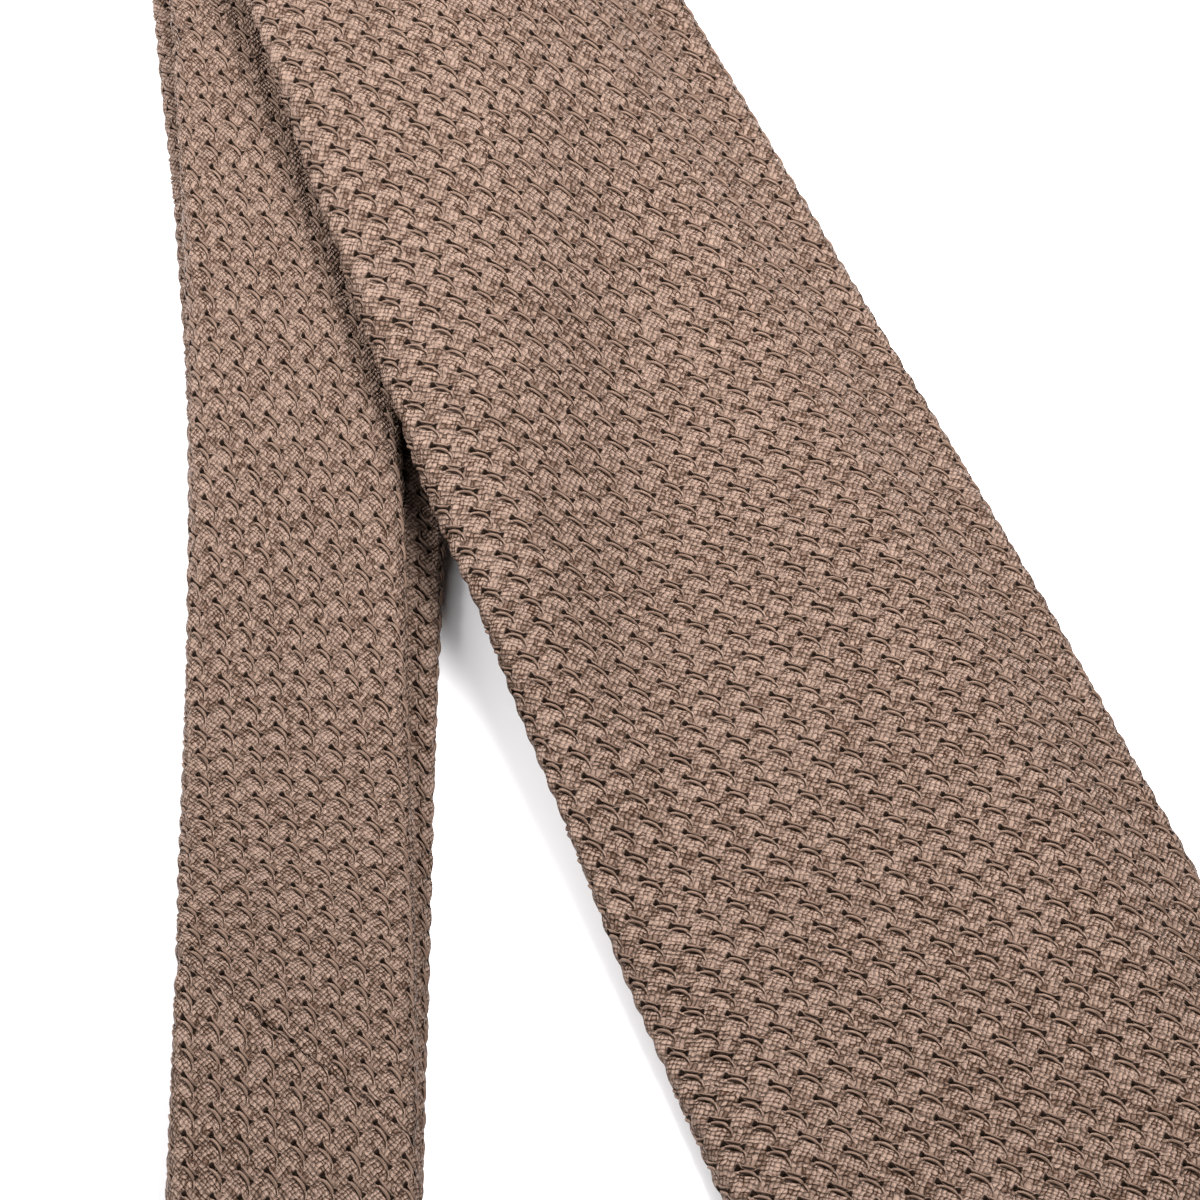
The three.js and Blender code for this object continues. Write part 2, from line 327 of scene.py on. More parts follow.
class Cloth:
    """A piece of the tie from one s to another, made of rows across it."""

    def __init__(self, start, end, parts, slants, lattice, seams=()):
        """parts are its legs and folds, slants are (s, how far a row leans along the tie for
        each millimetre across), and seams are its sewn ends."""
        self.start, self.end, self.parts, self.lattice = start, end, parts, lattice
        self.slants, self.seams = slants, seams

    def slant(self, s):
        at, to = np.array(self.slants, float).T
        return np.interp(s, at, to)

    def half(self, s):
        """Half the flat part of the section's face."""
        return width_at(s) / 2 - RADIUS

    def section(self, s, a, h):
        """A place round the section as u across the cloth and n out of its face."""
        half, b = self.half(s), np.abs(a)
        angle = np.clip((b - half) / RADIUS, 0, math.pi)
        past = np.maximum(b - half - math.pi * RADIUS, 0)
        from_edge = np.where(angle < math.pi, half - b, half - past)
        soft = np.minimum(EDGE_SOFT, EDGE_SHARE * half)
        thin = EDGE_THIN * (1 - smooth(from_edge, 0, soft))
        u = np.sign(a) * (np.minimum(b, half) + (RADIUS + h) * np.sin(angle) - past)
        return u, (RADIUS + h - thin) * np.cos(angle)

    def place(self, s, a, h):
        """s is the row's own, where it crosses the middle line."""
        u, n = self.section(s, a, h)
        slanted = s + self.slant(s) * u
        out = np.zeros(np.shape(u) + (3,))
        s_wide = np.broadcast_to(s, np.shape(u))
        for part in self.parts:
            low = -math.inf if part is self.parts[0] else part.start
            high = math.inf if part is self.parts[-1] else part.end
            here = (s_wide >= low) & (s_wide < high)
            if not here.any():
                continue
            if isinstance(part, Fold):
                out[here] = part.place(s_wide[here], u[here], n[here])
            else:
                out[here] = lay(part, slanted[here], u[here], n[here])
        return (out + ORIGIN) * MM

    def real_s(self, s, a):
        return s + self.slant(s) * self.section(s, a, 0)[0]

    def row_of(self, s, a):
        """The row that a real s and a lie on."""
        row = np.array(s, float)
        for _ in range(SEARCH_ROUNDS):
            row = s - self.slant(row) * self.section(row, a, 0)[0]
        return row

    def at_cell(self, u, v, h):
        """The point, the row and the a of a place in the lattice."""
        s, a = self.lattice.place(u, v)
        row = self.row_of(s, a)
        return self.place(row, a, h), row, a

    def by_seam(self, s):
        """1 at a seam, 0 away from it."""
        near = np.zeros_like(s)
        for seam in self.seams:
            near = near + np.exp(-(((s - seam) / SEAM_WIDTH) ** 2))
        return near


def mesh_object(name, points, quads, uvs, material):
    """A mesh from its points, its quads and a place in the weave for each point."""
    mesh = bpy.data.meshes.new(name)
    quads = np.asarray(quads, np.int32).reshape(-1, 4)
    mesh.vertices.add(len(points))
    mesh.vertices.foreach_set("co", np.asarray(points, np.float32).ravel())
    mesh.loops.add(quads.size)
    mesh.loops.foreach_set("vertex_index", quads.ravel())
    mesh.polygons.add(len(quads))
    mesh.polygons.foreach_set("loop_start", np.arange(0, quads.size, 4, dtype=np.int32))
    mesh.polygons.foreach_set("use_smooth", np.full(len(quads), True))
    layer = mesh.uv_layers.new(name="weave")
    layer.data.foreach_set("uv", np.asarray(uvs, np.float32)[quads.ravel()].ravel())
    mesh.update(calc_edges=True)
    mesh.validate()
    mesh.materials.append(material)
    obj = bpy.data.objects.new(name, mesh)
    bpy.context.collection.objects.link(obj)
    return obj


def grid_quads(rows, columns, first=0):
    """The quads of a grid of points, the first of which has this number."""
    i, j = np.meshgrid(np.arange(rows - 1), np.arange(columns - 1), indexing="ij")
    a = first + i * columns + j
    return np.stack([a, a + columns, a + columns + 1, a + 1], axis=-1).reshape(-1, 4)


def columns_of(face, roll, back):
    """(share of the half, length) for each column, from one lip round to the other."""
    t = np.linspace(-1, 1, face + 1)
    middle = np.stack([t, np.zeros_like(t)], axis=1)
    t = np.linspace(0, 1, roll + 1)[1:]
    edge = np.stack([np.ones_like(t), math.pi * RADIUS * t], axis=1)
    t = np.linspace(0, 1, back + 1)[1:]
    flap = np.stack([1 + t, math.pi * RADIUS - BACK_SLIT / 2 * t], axis=1)
    right = np.concatenate([edge, flap])
    return np.concatenate([-right[::-1], middle, right])


# The plain inner wall has few columns: across a back flap, a rolled edge, the face and so on
INNER_COLUMNS = (3, 3, 6, 3, 3)
LIP_COLUMNS = 2  # the relief fades over these towards a lip


def inner_columns(face, roll, back):
    """Which of the outer wall's columns the inner one has too."""
    columns, start = [], 0
    for width, count in zip((back, roll, face, roll, back), INNER_COLUMNS):
        columns.append(start + np.linspace(0, width, count + 1).round().astype(int))
        start += width
    return np.unique(np.concatenate(columns))


def shell(name, cloth, step, face, roll, back, material):
    """The cloth as a closed shell: the outer wall with the weave's bumps, and a plain inner one."""
    rows = int(round((cloth.end - cloth.start) / step)) + 1
    s = np.linspace(cloth.start, cloth.end, rows)[:, None]
    columns = columns_of(face, roll, back)
    a = columns[:, 0] * cloth.half(s) + columns[:, 1]
    s = np.broadcast_to(s, a.shape)
    u, v = cloth.lattice.cell(cloth.real_s(s, a), a)
    from_lip = np.minimum(np.arange(len(columns)), np.arange(len(columns))[::-1])
    flat = np.minimum(from_lip / LIP_COLUMNS, 1)
    by_seam = cloth.by_seam(s)
    h = relief(u, v) * flat * (1 - by_seam) - SEAM_DIP * by_seam
    outer = cloth.place(s, a, h)
    keep = inner_columns(face, roll, back)
    inner = cloth.place(s[:, keep], a[:, keep], -WALL)
    n_out, n_in = outer.shape[1], inner.shape[1]
    points = np.concatenate([outer.reshape(-1, 3), inner.reshape(-1, 3)])
    uv = np.concatenate([
        np.stack([u, v], axis=-1).reshape(-1, 2),
        np.stack([u[:, keep], v[:, keep]], axis=-1).reshape(-1, 2),
    ])
    base = rows * n_out
    quads = [grid_quads(rows, n_out), grid_quads(rows, n_in, base)[:, ::-1]]
    # The two lips of the back slit
    i = np.arange(rows - 1)
    first_out, first_in = i * n_out, base + i * n_in
    quads.append(np.stack([first_out, first_in, first_in + n_in, first_out + n_out], axis=1))
    last_out, last_in = i * n_out + n_out - 1, base + i * n_in + n_in - 1
    quads.append(np.stack([last_out, last_out + n_out, last_in + n_in, last_in], axis=1))
    obj = mesh_object(name, points, np.concatenate(quads), uv, material)
    close_ends(obj, rows, n_out, keep)
    return obj


def close_ends(obj, rows, n_out, keep):
    """Joins the outer wall to the inner one at the cloth's two ends."""
    base, n_in = rows * n_out, len(keep)
    bm = bmesh.new()
    bm.from_mesh(obj.data)
    bm.verts.ensure_lookup_table()
    layer = bm.loops.layers.uv.active
    known = {vert.index: vert.link_loops[0][layer].uv.copy() for vert in bm.verts}
    for row, turned in ((0, False), (rows - 1, True)):
        for k in range(n_in - 1):
            outer = [row * n_out + j for j in range(keep[k], keep[k + 1] + 1)]
            inner = [base + row * n_in + k + 1, base + row * n_in + k]
            ring = outer + inner
            face = bm.faces.new([bm.verts[i] for i in (ring[::-1] if turned else ring)])
            face.smooth = False
            for loop in face.loops:
                loop[layer].uv = known[loop.vert.index]
    bmesh.ops.triangulate(bm, faces=[f for f in bm.faces if len(f.verts) > 4])
    bm.to_mesh(obj.data)
    bm.free()


# The floats that bridge each cell, in pairs. r is a place along a cell's slant, in cells.

SIDES = 5  # of a float's tube
POINTS = 7  # along it
LOW_LINE = (-0.115, -0.02, -0.30)  # how far the lower float lies from the slant: 1, r and r squared
LOW_TURN = (0.3, -0.9)  # the r from where it turns away further, and how fast
HIGH_LINE = (0.10, -0.06, 0.20)
DIVE_SHARPNESS, TAPER_SHARPNESS = 3, 6  # how late a float dives and narrows towards its ends
END_TAPER = 0.65  # of its radius, lost at its ends
EDGE_ROWS = 60  # rows of a cloth whose two edges are looked at to find its cells
FLOAT_MARGIN = 1.6  # kept free at a cloth's ends and lips
STRAY_ACROSS = 0.012
STRAY_LENGTH = 0.02
STRAY_HEIGHT = 0.03
PROBE = 0.5  # how far out of the cloth a second point lies that tells which way is out
THREAD_SHIFT = (1, 40)  # how far each float's place in its material is moved at most


def curve(line, r):
    """A float's distance from the slant at r, which is an array or a number of a node tree."""
    return r * line[1] + r * r * line[2] + line[0]


def low_line(r):
    past = np.maximum(r - LOW_TURN[0], 0)
    return curve(LOW_LINE, r) + past * past * LOW_TURN[1]


def high_line(r):
    return curve(HIGH_LINE, r)


def strand_path(line, ends, top, dive, radius):
    """A float's path in a cell, as places across and along the cell's slant and heights, and its
    radius at each of them."""
    t = np.linspace(-1, 1, POINTS)
    along = ends[0] + (ends[1] - ends[0]) * (t + 1) / 2
    path = np.stack([line(along), along, top - dive * np.abs(t) ** DIVE_SHARPNESS], axis=1)
    return path, radius * (1 - END_TAPER * np.abs(t) ** TAPER_SHARPNESS)


LOW_STRAND = strand_path(low_line, ends=(-0.50, 0.66), top=-0.20, dive=0.50, radius=0.25)
HIGH_STRAND = strand_path(high_line, ends=(-0.50, 0.44), top=-0.24, dive=0.44, radius=0.19)


def unit(vectors):
    return vectors / np.linalg.norm(vectors, axis=-1, keepdims=True)


def cells_near(cloth):
    """The lattice points of all cells that may lie on a cloth."""
    s = np.repeat(np.linspace(cloth.start, cloth.end, EDGE_ROWS), 2)
    reach = 2 * cloth.half(s) + math.pi * RADIUS
    reach[::2] *= -1
    u, v = cloth.lattice.cell(s, reach)
    i, j = np.meshgrid(
        np.arange(math.floor(u.min()), math.ceil(u.max()) + 1.0),
        np.arange(math.floor(v.min()), math.ceil(v.max()) + 1.0), indexing="ij")
    return i.ravel(), j.ravel()


def cells_with_floats(cloth, shows):
    """The lattice points on a cloth that shows(points, outward, row, a) picks."""
    i, j = cells_near(cloth)
    at, row, a = cloth.at_cell(i, j, np.zeros_like(i))
    outward = unit(cloth.at_cell(i, j, np.ones_like(i))[0] - at)
    reach = 2 * cloth.half(row) + math.pi * RADIUS - FLOAT_MARGIN
    inside = (row > cloth.start + FLOAT_MARGIN) & (row < cloth.end - FLOAT_MARGIN)
    picked = inside & (np.abs(a) < reach) & shows(at / MM - ORIGIN, outward, row, a)
    return i[picked], j[picked]


def tubes(centre, outward, radius):
    """Rings of points round paths: centre and outward are (path, point, xyz)."""
    side = np.cross(unit(np.gradient(centre, axis=1)), outward)
    angle = 2 * math.pi * np.arange(SIDES) / SIDES
    ring = (np.cos(angle)[:, None] * outward[:, :, None] + np.sin(angle)[:, None] * side[:, :, None])
    return centre[:, :, None] + radius[:, None, None] * MM * ring


def tube_quads(count):
    point, side = np.meshgrid(np.arange(POINTS - 1), np.arange(SIDES), indexing="ij")
    here = point * SIDES + side
    beside = point * SIDES + (side + 1) % SIDES
    one = np.stack([here, beside, beside + SIDES, here + SIDES], axis=-1).reshape(-1, 4)
    return (one[None] + (np.arange(count) * POINTS * SIDES)[:, None, None]).reshape(-1, 4)


def tube_uvs(shift):
    """Round and along each tube, moved by its own shift."""
    along, turn = np.meshgrid(np.arange(POINTS) / POINTS, np.arange(SIDES) / SIDES, indexing="ij")
    one = np.stack([turn, along], axis=-1).reshape(-1, 2)
    return (one[None] + shift[:, None]).reshape(-1, 2)


def threads(name, cloth, shows, material, seed):
    """The pairs of long floats over the holes, one pair in each cell that shows picks."""
    i, j = cells_with_floats(cloth, shows)
    rng = np.random.default_rng(seed)
    points, uvs = [], []
    for strand, radius in (LOW_STRAND, HIGH_STRAND):
        r1 = strand[:, 0] + rng.normal(0, STRAY_ACROSS, (len(i), 1))
        r2 = strand[:, 1] * (1 + rng.normal(0, STRAY_LENGTH, (len(i), 1)))
        h = strand[:, 2] + rng.normal(0, STRAY_HEIGHT, (len(i), 1))
        u, v = i[:, None] + (r1 + r2) / 2, j[:, None] + (r1 - r2) / 2
        centre = cloth.at_cell(u, v, h)[0]
        outward = unit(cloth.at_cell(u, v, h + PROBE)[0] - centre)
        points.append(tubes(centre, outward, radius).reshape(-1, 3))
        shift = [rng.random(len(i)) * most for most in THREAD_SHIFT]
        uvs.append(tube_uvs(np.stack(shift, axis=1)))
    return mesh_object(
        name, np.concatenate(points), tube_quads(2 * len(i)), np.concatenate(uvs), material)


# Materials


class Val:
    """A number in a node tree, which +, -, * and / join into Math nodes."""

    def __init__(self, tree, socket):
        self.tree, self.socket = tree, socket

    def made(self, operation, *inputs):
        node = self.tree.nodes.new("ShaderNodeMath")
        node.operation = operation
        for socket, value in zip(node.inputs, inputs):
            if isinstance(value, Val):
                self.tree.links.new(value.socket, socket)
            else:
                socket.default_value = value
        return Val(self.tree, node.outputs[0])

    def __add__(self, other):
        return self.made("ADD", self, other)

    def __sub__(self, other):
        return self.made("SUBTRACT", self, other)

    def __rsub__(self, other):
        return self.made("SUBTRACT", other, self)

    def __mul__(self, other):
        return self.made("MULTIPLY", self, other)

    def __truediv__(self, other):
        return self.made("DIVIDE", self, other)

    def abs(self):
        return self.made("ABSOLUTE", self)

    def floor(self):
        return self.made("FLOOR", self)

    def frac(self):
        return self.made("FRACT", self)

    def cos(self):
        return self.made("COSINE", self)

    def sqrt(self):
        return self.made("SQRT", self)

    def high(self, other):
        """The higher of the two."""
        return self.made("MAXIMUM", self, other)

    def ramp(self, low, high):
        """0 up to low, 1 from high on, and a soft slope between them."""
        node = self.tree.nodes.new("ShaderNodeMapRange")
        node.interpolation_type = "SMOOTHSTEP"
        node.inputs["From Min"].default_value = low
        node.inputs["From Max"].default_value = high
        self.tree.links.new(self.socket, node.inputs["Value"])
        return Val(self.tree, node.outputs["Result"])


# The weave as its nodes draw it. u and v count the lattice's cells. x and y are places in one cell,
# q1 and q2 the same along its two slants, and r1 and r2 from the middle of its floats.

HOLE = (-0.22, 0.24)  # the upper left hole of a cell, from its lattice point
CELL_START = (-0.35, -0.85)  # the lowest x and y of a cell
LOW_CELL_START = -1.05  # the lowest y of the cell that the lower float and the bump lie in
FLOATS_MIDDLE = (-0.02, 0.46)  # q1 and q2

# The plain weave
THREADS = 4.6  # to a unit of q
THREAD_ROUND = 0.15  # millimetres, as all heights here
THREAD_RISE = 0.13
THREAD_UNEVEN = 0.11
WEFT_LOW = 0.02
FAN = (0.27, 0.44, 0.22, 0.40)  # q1, q2 and radii of the fan, where the weft sinks away
FAN_EDGE = (0.55, 1.0)
FAN_LOW = 0.14
GAP = (0.03, 0.24)  # heights: painted shade in full up to the first, none from the second on
# how much less painted shade the gaps in the fan get
FAN_LIGHT = 0.08
GAP_UNEVEN = 0.12

# The floats, and the painted shade beside them
LOW_HALF, HIGH_HALF = 0.085, 0.065  # half their widths
LOW_MIDDLE, LOW_REACH, HIGH_REACH = 0.15, (0.55, 0.65), (0.42, 0.50)  # along r2
BAR_EDGE = 0.35
BAR_HEIGHT, BAR_ROUND = 0.12, 0.16
# the arc is a trough under the lower float, and a painted shadow line along it
ARC_OFFSET, ARC_WIDTH, ARC_START, ARC_END = 0.10, (0.02, 0.065), (-0.15, 0.1), (0.62, 0.88)
ARC_DEPTH = 0.1
# over is a painted shadow line along the higher float
OVER_OFFSET, OVER_WIDTH = 0.085, (0.01, 0.05)

# The hole at each end of the slit between the two floats
# The slit between the floats is painted shade, and the holes are painted near black: the dark lining
# behind the weave, and painted shade in the holes
SLIT_WIDTH, SLIT_REACH = (0.030, 0.06), (0.49, 0.58)
HOLE_NARROW, HOLE_WIDE, HOLE_WIDER = (0.16, 0.26), (0.20, 0.46), 5.0
HOLE_DEPTH = 0.5

# The bump of each cell, and the step at its side
BUMP = (-0.02, -0.60, 0.38, 0.40)  # x, y and radii
BUMP_HEIGHT, BUMP_EDGE = 0.36, (0.7, 1.15)
# the valley is a ring of painted shade round each bump
VALLEY_AT, VALLEY_WIDTH = 1.05, (0.0, 0.40)  # in the bump's radii
STEP_AT = (0.31, -0.58)  # x, and the y below which the step runs straight
STEP_BEND, STEP_LEAN = 0.01, 0.45
STEP_RUN, STEP_EDGE, STEP_NEXT = 0.7, (-0.03, 0.02), 0.3
STEP_ROWS = ((-1.02, -0.85), (-0.38, -0.2))
STEP_HEIGHT = 0.12

# How much each shape lightens the threads: each crossing's own random lightness, painted light on the
# bumps and a little painted shade in the hollows; and how dark the painted shade of each shape is
TONES_AND_PAINTED_LIGHT = {"thread": 0.55, "pillow": 0.10, "bump": 0.28, "hollow": -0.05}
SHADES = {"arc": 0.95, "slit": 0.9, "valley": 0.42, "over": 0.6}
GAP_SHADE, GAP_PILLOW_SHADE = 0.84, 0.14


def wrapped(value, start):
    """A place's own part in cells one unit long, the first of which starts at start."""
    return (value - start).frac() + start


def near(value, inner, outer):
    """1 within inner of zero, 0 from outer on."""
    return 1.0 - value.abs().ramp(inner, outer)


def half_round(value, half):
    """The height of a round back this wide to each side of zero, 1 in its middle."""
    part = value / half
    return (1.0 - part * part).high(0.0).sqrt()


def from_middle(x, y, ellipse):
    """How far a place is from the middle of (x, y, radius, radius), squared: 1 at the edge."""
    dx, dy = (x - ellipse[0]) / ellipse[2], (y - ellipse[1]) / ellipse[3]
    return dx * dx + dy * dy


def plain_weave(t1, t2, k1, k2, uneven, fan):
    """The height of crossing threads. t counts them across, and k is the number of each."""
    rise = (1.0 - fan) * THREAD_RISE
    warp = half_round(t2 - k2, 0.5) * THREAD_ROUND + ((t1 + k2) * math.pi).cos() * rise
    weft = half_round(t1 - k1, 0.5) * THREAD_ROUND - ((t2 + k1) * math.pi).cos() * rise
    return warp.high(weft - fan * FAN_LOW - WEFT_LOW) + uneven * THREAD_UNEVEN


def above_low(r1, r2):
    """How far a place is above the lower float's line."""
    past = (r2 - LOW_TURN[0]).high(0.0)
    return r1 - curve(LOW_LINE, r2) - past * past * LOW_TURN[1]


def step_beside(x, y):
    """The slope that rises to a cell's side and drops there."""
    below = y - STEP_AT[1]
    side = x - STEP_AT[0] + ((below * below + STEP_BEND).sqrt() + below) * STEP_LEAN
    rise = (side / STEP_RUN + 1.0).high(0.0) * (1.0 - side.ramp(*STEP_EDGE))
    first, last = STEP_ROWS
    return rise.high((side - STEP_NEXT) / STEP_RUN) * y.ramp(*first) * (1.0 - y.ramp(*last))


def weave_height(u, v, stray1, stray2, random):
    """The threads' height in millimetres, the painted shade of each place, the holes, and the
    threads'
    lightness: each crossing's own at random, with painted light on the bumps and painted shade in the
    hollows. Each stray moves one set of threads, and random(k1, k2) gives each crossing its own
    number."""
    x, y = wrapped(u - HOLE[0], CELL_START[0]), wrapped(v - HOLE[1], CELL_START[1])
    y_low = wrapped(v - HOLE[1], LOW_CELL_START)
    q1, q2 = x + y, x - y
    r1, r2 = q1 - FLOATS_MIDDLE[0], q2 - FLOATS_MIDDLE[1]
    low_r1, low_r2 = x + y_low - FLOATS_MIDDLE[0], x - y_low - FLOATS_MIDDLE[1]

    t1, t2 = (u + v) * THREADS + stray1, (u - v) * THREADS + stray2
    k1, k2 = (t1 + 0.5).floor(), (t2 + 0.5).floor()
    own = random(k1, k2)
    uneven = own - 0.5
    fan = 1.0 - from_middle(q1, q2, FAN).sqrt().ramp(*FAN_EDGE)
    plain = plain_weave(t1, t2, k1, k2, uneven, fan)
    # gap is painted shade where the threads dip between each other
    gap = 1.0 - (plain + fan * FAN_LIGHT + uneven * GAP_UNEVEN).ramp(*GAP)

    low, high = above_low(low_r1, low_r2), r1 - curve(HIGH_LINE, r2)
    along_high = near(r2, *HIGH_REACH)
    low_bar = half_round(low, LOW_HALF) * near(low_r2 - LOW_MIDDLE, *LOW_REACH)
    bars = low_bar.high(half_round(high, HIGH_HALF) * along_high)
    in_bar = bars.ramp(0.0, BAR_EDGE)
    beside = 1.0 - in_bar
    # painted shadow lines: under the lower float and over the higher one
    arc = near(low + ARC_OFFSET, *ARC_WIDTH) * low_r2.ramp(*ARC_START) * (1.0 - low_r2.ramp(*ARC_END))
    over = near(high - OVER_OFFSET, *OVER_WIDTH) * along_high

    widening = r2.abs().ramp(*HOLE_WIDE) * HOLE_WIDER + 1.0
    # painted shade in the slit between the floats, and the holes painted near black for the lining
    # behind them and their shade
    slit = near((above_low(r1, r2) + high) / widening, *SLIT_WIDTH) * near(r2, *SLIT_REACH)
    hole = slit * r2.abs().ramp(*HOLE_NARROW)

    out = from_middle(x, y_low, BUMP)
    bump = (1.0 - out).high(0.0).sqrt()
    pillow = 1.0 - out.ramp(*BUMP_EDGE)
    # a ring of painted shade round the bump
    valley = near(out - VALLEY_AT, *VALLEY_WIDTH) * beside
    hollow = ((u * 2 * math.pi).cos() + (v * 2 * math.pi).cos() + 2.0) / 4.0

    height = plain * beside + in_bar * (bars * BAR_ROUND + BAR_HEIGHT) - arc * ARC_DEPTH
    height = height + step_beside(x, y_low) * STEP_HEIGHT + bump * BUMP_HEIGHT - hole * HOLE_DEPTH
    # each crossing's own random lightness, painted light on the bump tops and painted shade in the
    # hollows
    tone = own * TONES_AND_PAINTED_LIGHT["thread"] + pillow * TONES_AND_PAINTED_LIGHT["pillow"] + bump * TONES_AND_PAINTED_LIGHT["bump"]
    tone = tone + hollow * TONES_AND_PAINTED_LIGHT["hollow"]
    shade = gap * (pillow * GAP_PILLOW_SHADE + GAP_SHADE) * beside
    for name, shape in (("arc", arc), ("slit", slit), ("valley", valley), ("over", over)):
        shade = shade.high(shape * SHADES[name])
    return height, shade, hole, tone


WEAVE_INPUTS = ("Across", "Along", "Stray 1", "Stray 2")
WEAVE_OUTPUTS = ("Height", "Shade", "Hole", "Tone And Painted Light")


def weave_group():
    """The gauze weave: from a place in its lattice, its height, its painted shade, its holes and its
    lightness, with painted light on its bumps.
    """
    tree = bpy.data.node_groups.new("gauze_weave", "ShaderNodeTree")
    for name in WEAVE_INPUTS:
        tree.interface.new_socket(name, in_out="INPUT", socket_type="NodeSocketFloat")
    for name in WEAVE_OUTPUTS:
        tree.interface.new_socket(name, in_out="OUTPUT", socket_type="NodeSocketFloat")
    given = tree.nodes.new("NodeGroupInput")
    result = tree.nodes.new("NodeGroupOutput")

    def random(k1, k2):
        pair = tree.nodes.new("ShaderNodeCombineXYZ")
        tree.links.new(k1.socket, pair.inputs[0])
        tree.links.new(k2.socket, pair.inputs[1])
        node = tree.nodes.new("ShaderNodeTexWhiteNoise")
        node.noise_dimensions = "2D"
        tree.links.new(pair.outputs[0], node.inputs["Vector"])
        return Val(tree, node.outputs["Value"])

    values = [Val(tree, given.outputs[name]) for name in WEAVE_INPUTS]
    for name, value in zip(WEAVE_OUTPUTS, weave_height(*values, random)):
        tree.links.new(value.socket, result.inputs[name])
    return tree


WEAVE = weave_group()


def new_material(name):
    material = bpy.data.materials.new(name)
    material.use_nodes = True
    tree = material.node_tree
    return material, tree, tree.nodes["Principled BSDF"]


def woven_place(tree):
    """Where a surface lies in its weave."""
    uv = tree.nodes.new("ShaderNodeUVMap")
    uv.uv_map = "weave"
    return uv.outputs["UV"]


def noise(tree, vector, scale, detail):
    node = tree.nodes.new("ShaderNodeTexNoise")
    node.inputs["Scale"].default_value = scale
    node.inputs["Detail"].default_value = detail
    tree.links.new(vector, node.inputs["Vector"])
    return node.outputs


def two_noises(tree, vector, scale):
    """Two noises of their own, each from -0.5 to 0.5."""
    split = tree.nodes.new("ShaderNodeSeparateColor")
    tree.links.new(noise(tree, vector, scale, detail=1.0)["Color"], split.inputs[0])
    return [Val(tree, split.outputs[k]) - 0.5 for k in (0, 1)]


def mix(tree, factor, a, b):
    node = tree.nodes.new("ShaderNodeMix")
    node.data_type = "RGBA"
    for value, socket in ((factor, node.inputs[0]), (a, node.inputs[6]), (b, node.inputs[7])):
        if isinstance(value, Val):
            tree.links.new(value.socket, socket)
        elif isinstance(value, tuple):
            socket.default_value = (*value, 1.0)
        else:
            tree.links.new(value, socket)
    return node.outputs[2]


def bump_from(tree, bsdf, height):
    """Gives a shader the relief of a height in millimetres."""
    bump = tree.nodes.new("ShaderNodeBump")
    bump.inputs["Distance"].default_value = MM
    tree.links.new(height.socket, bump.inputs["Height"])
    tree.links.new(bump.outputs["Normal"], bsdf.inputs["Normal"])


LIGHT_BROWN = (0.232, 0.158, 0.124)
DEEP_BROWN = (0.080, 0.047, 0.033)
# painted shade: the colour of the weave's gaps, shadow lines and valleys
CREVICE_SHADE = (0.030, 0.012, 0.005)
# the holes' colour: the dark lining behind the weave, and painted shade in the holes
HOLE_LINING_AND_SHADE = (0.005, 0.002, 0.001)
FLOAT_DEEP = (0.080, 0.049, 0.035)
FLOAT_LIGHT = (0.190, 0.124, 0.094)
CLOTH_GLOSS = 0.13
CLOTH_GLOSS_TINT = (1.0, 0.74, 0.56, 1.0)
FLOAT_GLOSS = 0.2
FLOAT_GLOSS_TINT = (1.0, 0.78, 0.62, 1.0)

WANDER_SCALE, WANDER = 1.7, 0.13  # how far the drawing strays from the lattice, in cells
STRAY_SCALE = 4.5
PATCH_SCALE, PATCH_TONE = 34.0, 0.15
FIBRE_SCALE, FIBRE_TONE, FIBRE_RELIEF = 7.0, 0.5, 0.06
TONE_START = 0.125
RELIEF = 2.1  # how much stronger the drawn relief is than its heights
CREVICE_ROUGH, FIBRE_ROUGH, CLOTH_ROUGH = 0.5, 0.2, 0.40


def cloth_material():
    material, tree, bsdf = new_material("brown_grenadine")
    place = woven_place(tree)
    split = tree.nodes.new("ShaderNodeSeparateXYZ")
    tree.links.new(place, split.inputs[0])
    wander = two_noises(tree, place, WANDER_SCALE)
    u, v = [Val(tree, split.outputs[k]) + wander[k] * WANDER for k in (0, 1)]
    group = tree.nodes.new("ShaderNodeGroup")
    group.node_tree = WEAVE
    for name, value in zip(WEAVE_INPUTS, (u, v, *two_noises(tree, place, STRAY_SCALE))):
        tree.links.new(value.socket, group.inputs[name])
    height, shade, hole, tone = [Val(tree, group.outputs[name]) for name in WEAVE_OUTPUTS]
    on_object = tree.nodes.new("ShaderNodeTexCoord").outputs["Object"]
    patch = Val(tree, noise(tree, on_object, PATCH_SCALE, detail=3.0)["Fac"])
    fibre = Val(tree, noise(tree, place, FIBRE_SCALE, detail=1.0)["Fac"])
    # light holds random patches and fibres, each crossing's own lightness, and painted light on the
    # bumps and painted shade in the hollows
    light = patch * PATCH_TONE + fibre * FIBRE_TONE + tone + TONE_START
    colour = mix(tree, light, DEEP_BROWN, LIGHT_BROWN)
    # paints shade into the weave's gaps, beside its floats and round its bumps
    colour = mix(tree, shade, colour, CREVICE_SHADE)
    # paints the holes near black, for the lining behind them and the shade in them
    colour = mix(tree, hole, colour, HOLE_LINING_AND_SHADE)
    tree.links.new(colour, bsdf.inputs["Base Color"])
    rough = shade.high(hole) * CREVICE_ROUGH + fibre * FIBRE_ROUGH + CLOTH_ROUGH
    tree.links.new(rough.socket, bsdf.inputs["Roughness"])
    bsdf.inputs["Specular IOR Level"].default_value = CLOTH_GLOSS
    bsdf.inputs["Specular Tint"].default_value = CLOTH_GLOSS_TINT
    bump_from(tree, bsdf, height * RELIEF + fibre * FIBRE_RELIEF)
    return material


